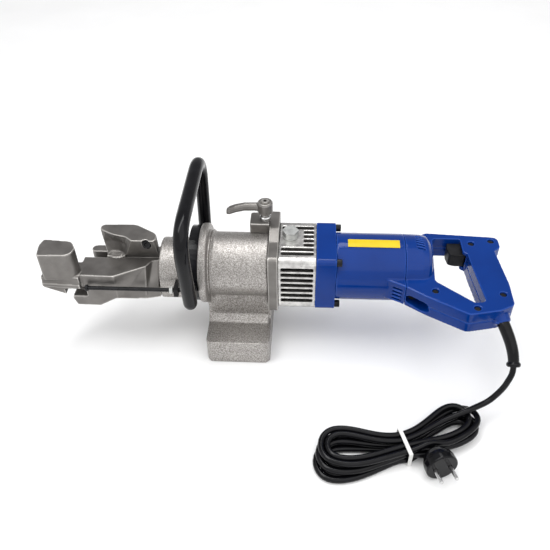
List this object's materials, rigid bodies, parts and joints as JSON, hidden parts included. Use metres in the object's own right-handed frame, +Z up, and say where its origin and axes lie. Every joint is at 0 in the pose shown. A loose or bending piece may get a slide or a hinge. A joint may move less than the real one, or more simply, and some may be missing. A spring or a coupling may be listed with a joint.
{
  "type": "rebar bender",
  "caption": "Portable electro-hydraulic bar bending head on a cylinder with foot, loop handle, pump, motor and D-grip, with its coiled lead and plug.",
  "frame": {"origin": "on the foot's resting face, straight below the machine axis, 6 mm forward of the foot's middle", "axes": "+X along the machine axis from the bending head to the rear grip, +Y away from the strain relief's side, +Z up"},
  "size_m": [0.6181, 0.3656, 0.241],
  "materials": {
    "forged_steel": "dark forged steel, lightly oiled, satin",
    "speckled_casting": "cast surface with a fine speckled texture",
    "pump_alloy": "machined light alloy, satin",
    "ground_steel": "ground bright steel",
    "zinc_plate": "zinc plated steel",
    "copper": "copper",
    "laminated_iron": "dark laminated iron",
    "blue_plastic": "glossy dark blue moulded plastic",
    "yellow_label": "plain yellow label, no lettering",
    "black_plastic": "black moulded plastic",
    "black_oxide": "black oxide steel",
    "black_coating": "glossy black coating",
    "black_rubber": "black rubber, soft sheen",
    "white_nylon": "white nylon"
  },
  "bodies": {
    "machine": {"yoke_frame": "forged_steel", "adapter_plate": "forged_steel", "valve_block": "forged_steel", "cylinder_casting": "speckled_casting", "pump_block": "pump_alloy", "plunger_near": "ground_steel", "plunger_far": "ground_steel", "front_bearing": "ground_steel", "rear_bearing": "ground_steel", "plug_pin_1": "ground_steel", "plug_pin_2": "ground_steel", "filler_plug": "zinc_plate", "filler_washer": "zinc_plate", "stator": "laminated_iron", "bearing_bridge": "laminated_iron", "gear_collar": "blue_plastic", "motor_housing": "blue_plastic", "handle_shell_upper": "blue_plastic", "handle_shell_lower": "blue_plastic", "label_plate": "yellow_label", "brush_cap_near": "black_plastic", "brush_cap_far": "black_plastic", "carbon_brush_near": "black_plastic", "carbon_brush_far": "black_plastic", "switch_block": "black_plastic", "stop_lug": "black_oxide", "collar_bolt_1": "black_oxide", "collar_bolt_2": "black_oxide", "collar_bolt_3": "black_oxide", "collar_bolt_4": "black_oxide", "shell_screw_1": "black_oxide", "shell_screw_2": "black_oxide", "shell_screw_3": "black_oxide", "shell_screw_4": "black_oxide", "shell_screw_5": "black_oxide", "handle_frame": "black_coating", "rod_wiper": "black_rubber", "handle_grip": "black_rubber", "strain_relief": "black_rubber", "cord_run": "black_rubber", "cord_hank": "black_rubber", "plug_body": "black_rubber", "cord_tie": "white_nylon"},
    "ram": {"bending_die": "forged_steel", "die_set_screw": "black_oxide", "piston_rod": "ground_steel", "piston": "ground_steel", "piston_seal": "black_rubber"},
    "stop": {"stop_rod": "black_oxide", "stop_knob": "black_oxide", "stop_nut": "zinc_plate"},
    "lever": {"release_lever": "forged_steel", "lever_screw": "forged_steel", "valve_stem": "ground_steel"},
    "switch_trigger": {"trigger": "black_plastic"},
    "rotor": {"armature": "copper", "cooling_fan": "black_plastic", "pinion": "ground_steel"},
    "pump_drive": {"pump_shaft": "ground_steel", "driven_gear": "ground_steel"}
  },
  "joints": [
    {"name": "ram_slide", "type": "slide", "parent": "machine", "child": "ram", "axis": [-1, 0, 0], "range_m": [0, 0.045], "stiffness_N_per_m": 1200, "springref_m": -0.01},
    {"name": "stop_slide", "type": "slide", "parent": "machine", "child": "stop", "axis": [-1, 0, 0], "range_m": [0, 0.007]},
    {"name": "release_lever_turn", "type": "hinge", "parent": "machine", "child": "lever", "pos_m": [0.0405, 0.029, 0.19], "axis": [0, 0, 1], "range_deg": [0, 80]},
    {"name": "trigger_press", "type": "slide", "parent": "machine", "child": "switch_trigger", "axis": [1, 0, 0], "range_m": [0, 0.005], "stiffness_N_per_m": 900},
    {"name": "armature_spin", "type": "hinge", "parent": "machine", "child": "rotor", "pos_m": [0.18, 0, 0.115], "axis": [1, 0, 0], "continuous": true},
    {"name": "pump_spin", "type": "hinge", "parent": "machine", "child": "pump_drive", "pos_m": [0.1, 0, 0.095], "axis": [1, 0, 0], "continuous": true}
  ],
  "couplings": [
    {"joint": "pump_spin", "follows": "armature_spin", "ratio": -0.38462}
  ]
}
